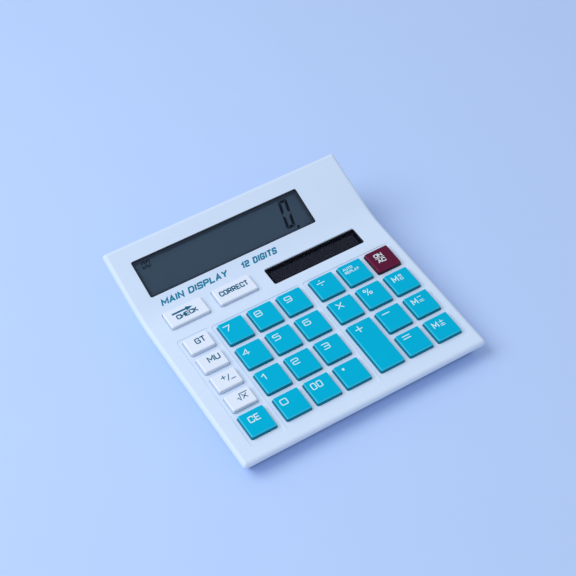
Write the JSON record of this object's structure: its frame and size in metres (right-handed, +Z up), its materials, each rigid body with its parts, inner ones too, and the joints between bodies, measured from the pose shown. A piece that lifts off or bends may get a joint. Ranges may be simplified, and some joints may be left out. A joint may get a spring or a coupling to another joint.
{
  "type": "desk calculator",
  "caption": "Wedge-shaped desk calculator with sprung keys over a rubber mat, a raised liquid crystal display, a solar cell and a sliding battery door.",
  "frame": {"origin": "centre of the bounding box's underside, on the surface that the feet rest on", "axes": "+Z up, +X to the user's right, +Y away from the user, from the key rows towards the display"},
  "size_m": [0.1466, 0.1459, 0.0363],
  "materials": {
    "case_plastic": "pale blue-white moulded plastic with a satin sheen",
    "key_teal": "satin teal moulded plastic with white legends",
    "key_white": "satin off-white moulded plastic with teal legends",
    "key_maroon": "satin maroon moulded plastic with white legends",
    "display_lens": "clear acrylic, polished",
    "solar_lens": "smoked acrylic, polished",
    "lcd_glass": "slate-blue liquid crystal panel with dark segments",
    "holder_plastic": "white moulded plastic",
    "contact_rubber": "striped conductive rubber",
    "board_laminate": "green solder mask on fibreglass",
    "screw_steel": "zinc-plated steel",
    "solar_glass": "dark amorphous silicon on glass",
    "mat_rubber": "translucent grey silicone",
    "epoxy": "black epoxy",
    "capacitor_sleeve": "dark blue sleeve",
    "ribbon_film": "amber film with copper tracks",
    "lead_insulation": "red insulated wire",
    "cell_jacket": null,
    "contact_metal": "nickel-plated spring steel",
    "foot_rubber": "grey rubber"
  },
  "bodies": {
    "case": {"top_case": "case_plastic", "bottom_case": "case_plastic", "display_window": "display_lens", "solar_window": "solar_lens", "display_panel": "lcd_glass", "display_holder": "holder_plastic", "contact_strip": "contact_rubber", "display_board": "board_laminate", "main_board": "board_laminate", "display_screws": "screw_steel", "board_screws": "screw_steel", "case_screws": "screw_steel", "solar_cell": "solar_glass", "keypad_mat": "mat_rubber", "chip_cover": "epoxy", "capacitor": "capacitor_sleeve", "ribbon_cable": "ribbon_film", "solar_leads": "lead_insulation", "battery_leads": "lead_insulation", "battery_cell": "cell_jacket", "battery_spring": "contact_metal", "battery_plate": "contact_metal", "rubber_feet": "foot_rubber"},
    "key_7": {"key_7": "key_teal"},
    "key_8": {"key_8": "key_teal"},
    "key_9": {"key_9": "key_teal"},
    "key_4": {"key_4": "key_teal"},
    "key_5": {"key_5": "key_teal"},
    "key_6": {"key_6": "key_teal"},
    "key_1": {"key_1": "key_teal"},
    "key_2": {"key_2": "key_teal"},
    "key_3": {"key_3": "key_teal"},
    "key_0": {"key_0": "key_teal"},
    "key_00": {"key_00": "key_teal"},
    "key_decimal": {"key_decimal": "key_teal"},
    "key_divide": {"key_divide": "key_teal"},
    "key_multiply": {"key_multiply": "key_teal"},
    "key_auto_replay": {"key_auto_replay": "key_teal"},
    "key_percent": {"key_percent": "key_teal"},
    "key_minus": {"key_minus": "key_teal"},
    "key_equals": {"key_equals": "key_teal"},
    "key_on_clear": {"key_on_clear": "key_maroon"},
    "key_memory_recall": {"key_memory_recall": "key_teal"},
    "key_memory_minus": {"key_memory_minus": "key_teal"},
    "key_memory_plus": {"key_memory_plus": "key_teal"},
    "key_clear_entry": {"key_clear_entry": "key_teal"},
    "key_plus": {"key_plus": "key_teal"},
    "key_grand_total": {"key_grand_total": "key_white"},
    "key_mark_up": {"key_mark_up": "key_white"},
    "key_sign": {"key_sign": "key_white"},
    "key_square_root": {"key_square_root": "key_white"},
    "key_check": {"key_check": "key_white"},
    "key_correct": {"key_correct": "key_white"},
    "battery_door": {"battery_door": "case_plastic"}
  },
  "joints": [
    {"name": "key_7_press", "type": "slide", "parent": "case", "child": "key_7", "axis": [0, 0.0872, -0.9962], "range_m": [0, 0.0012], "stiffness_N_per_m": 350, "springref_m": -0.0005, "deforming": ["keypad_mat"]},
    {"name": "key_8_press", "type": "slide", "parent": "case", "child": "key_8", "axis": [0, 0.0872, -0.9962], "range_m": [0, 0.0012], "stiffness_N_per_m": 350, "springref_m": -0.0005, "deforming": ["keypad_mat"]},
    {"name": "key_9_press", "type": "slide", "parent": "case", "child": "key_9", "axis": [0, 0.0872, -0.9962], "range_m": [0, 0.0012], "stiffness_N_per_m": 350, "springref_m": -0.0005, "deforming": ["keypad_mat"]},
    {"name": "key_4_press", "type": "slide", "parent": "case", "child": "key_4", "axis": [0, 0.0872, -0.9962], "range_m": [0, 0.0012], "stiffness_N_per_m": 350, "springref_m": -0.0005, "deforming": ["keypad_mat"]},
    {"name": "key_5_press", "type": "slide", "parent": "case", "child": "key_5", "axis": [0, 0.0872, -0.9962], "range_m": [0, 0.0012], "stiffness_N_per_m": 350, "springref_m": -0.0005, "deforming": ["keypad_mat"]},
    {"name": "key_6_press", "type": "slide", "parent": "case", "child": "key_6", "axis": [0, 0.0872, -0.9962], "range_m": [0, 0.0012], "stiffness_N_per_m": 350, "springref_m": -0.0005, "deforming": ["keypad_mat"]},
    {"name": "key_1_press", "type": "slide", "parent": "case", "child": "key_1", "axis": [0, 0.0872, -0.9962], "range_m": [0, 0.0012], "stiffness_N_per_m": 350, "springref_m": -0.0005, "deforming": ["keypad_mat"]},
    {"name": "key_2_press", "type": "slide", "parent": "case", "child": "key_2", "axis": [0, 0.0872, -0.9962], "range_m": [0, 0.0012], "stiffness_N_per_m": 350, "springref_m": -0.0005, "deforming": ["keypad_mat"]},
    {"name": "key_3_press", "type": "slide", "parent": "case", "child": "key_3", "axis": [0, 0.0872, -0.9962], "range_m": [0, 0.0012], "stiffness_N_per_m": 350, "springref_m": -0.0005, "deforming": ["keypad_mat"]},
    {"name": "key_0_press", "type": "slide", "parent": "case", "child": "key_0", "axis": [0, 0.0872, -0.9962], "range_m": [0, 0.0012], "stiffness_N_per_m": 350, "springref_m": -0.0005, "deforming": ["keypad_mat"]},
    {"name": "key_00_press", "type": "slide", "parent": "case", "child": "key_00", "axis": [0, 0.0872, -0.9962], "range_m": [0, 0.0012], "stiffness_N_per_m": 350, "springref_m": -0.0005, "deforming": ["keypad_mat"]},
    {"name": "key_decimal_press", "type": "slide", "parent": "case", "child": "key_decimal", "axis": [0, 0.0872, -0.9962], "range_m": [0, 0.0012], "stiffness_N_per_m": 350, "springref_m": -0.0005, "deforming": ["keypad_mat"]},
    {"name": "key_divide_press", "type": "slide", "parent": "case", "child": "key_divide", "axis": [0, 0.0872, -0.9962], "range_m": [0, 0.0012], "stiffness_N_per_m": 350, "springref_m": -0.0005, "deforming": ["keypad_mat"]},
    {"name": "key_multiply_press", "type": "slide", "parent": "case", "child": "key_multiply", "axis": [0, 0.0872, -0.9962], "range_m": [0, 0.0012], "stiffness_N_per_m": 350, "springref_m": -0.0005, "deforming": ["keypad_mat"]},
    {"name": "key_auto_replay_press", "type": "slide", "parent": "case", "child": "key_auto_replay", "axis": [0, 0.0872, -0.9962], "range_m": [0, 0.0012], "stiffness_N_per_m": 350, "springref_m": -0.0005, "deforming": ["keypad_mat"]},
    {"name": "key_percent_press", "type": "slide", "parent": "case", "child": "key_percent", "axis": [0, 0.0872, -0.9962], "range_m": [0, 0.0012], "stiffness_N_per_m": 350, "springref_m": -0.0005, "deforming": ["keypad_mat"]},
    {"name": "key_minus_press", "type": "slide", "parent": "case", "child": "key_minus", "axis": [0, 0.0872, -0.9962], "range_m": [0, 0.0012], "stiffness_N_per_m": 350, "springref_m": -0.0005, "deforming": ["keypad_mat"]},
    {"name": "key_equals_press", "type": "slide", "parent": "case", "child": "key_equals", "axis": [0, 0.0872, -0.9962], "range_m": [0, 0.0012], "stiffness_N_per_m": 350, "springref_m": -0.0005, "deforming": ["keypad_mat"]},
    {"name": "key_on_clear_press", "type": "slide", "parent": "case", "child": "key_on_clear", "axis": [0, 0.0872, -0.9962], "range_m": [0, 0.0012], "stiffness_N_per_m": 350, "springref_m": -0.0005, "deforming": ["keypad_mat"]},
    {"name": "key_memory_recall_press", "type": "slide", "parent": "case", "child": "key_memory_recall", "axis": [0, 0.0872, -0.9962], "range_m": [0, 0.0012], "stiffness_N_per_m": 350, "springref_m": -0.0005, "deforming": ["keypad_mat"]},
    {"name": "key_memory_minus_press", "type": "slide", "parent": "case", "child": "key_memory_minus", "axis": [0, 0.0872, -0.9962], "range_m": [0, 0.0012], "stiffness_N_per_m": 350, "springref_m": -0.0005, "deforming": ["keypad_mat"]},
    {"name": "key_memory_plus_press", "type": "slide", "parent": "case", "child": "key_memory_plus", "axis": [0, 0.0872, -0.9962], "range_m": [0, 0.0012], "stiffness_N_per_m": 350, "springref_m": -0.0005, "deforming": ["keypad_mat"]},
    {"name": "key_clear_entry_press", "type": "slide", "parent": "case", "child": "key_clear_entry", "axis": [0, 0.0872, -0.9962], "range_m": [0, 0.0012], "stiffness_N_per_m": 350, "springref_m": -0.0005, "deforming": ["keypad_mat"]},
    {"name": "key_plus_press", "type": "slide", "parent": "case", "child": "key_plus", "axis": [0, 0.0872, -0.9962], "range_m": [0, 0.0012], "stiffness_N_per_m": 350, "springref_m": -0.0005, "deforming": ["keypad_mat"]},
    {"name": "key_grand_total_press", "type": "slide", "parent": "case", "child": "key_grand_total", "axis": [0, 0.0872, -0.9962], "range_m": [0, 0.0012], "stiffness_N_per_m": 350, "springref_m": -0.0005, "deforming": ["keypad_mat"]},
    {"name": "key_mark_up_press", "type": "slide", "parent": "case", "child": "key_mark_up", "axis": [0, 0.0872, -0.9962], "range_m": [0, 0.0012], "stiffness_N_per_m": 350, "springref_m": -0.0005, "deforming": ["keypad_mat"]},
    {"name": "key_sign_press", "type": "slide", "parent": "case", "child": "key_sign", "axis": [0, 0.0872, -0.9962], "range_m": [0, 0.0012], "stiffness_N_per_m": 350, "springref_m": -0.0005, "deforming": ["keypad_mat"]},
    {"name": "key_square_root_press", "type": "slide", "parent": "case", "child": "key_square_root", "axis": [0, 0.0872, -0.9962], "range_m": [0, 0.0012], "stiffness_N_per_m": 350, "springref_m": -0.0005, "deforming": ["keypad_mat"]},
    {"name": "key_check_press", "type": "slide", "parent": "case", "child": "key_check", "axis": [0, 0.0872, -0.9962], "range_m": [0, 0.0012], "stiffness_N_per_m": 350, "springref_m": -0.0005, "deforming": ["keypad_mat"]},
    {"name": "key_correct_press", "type": "slide", "parent": "case", "child": "key_correct", "axis": [0, 0.0872, -0.9962], "range_m": [0, 0.0012], "stiffness_N_per_m": 350, "springref_m": -0.0005, "deforming": ["keypad_mat"]},
    {"name": "battery_door_slide", "type": "slide", "parent": "case", "child": "battery_door", "axis": [0, 1, 0], "range_m": [0, 0.02]}
  ]
}
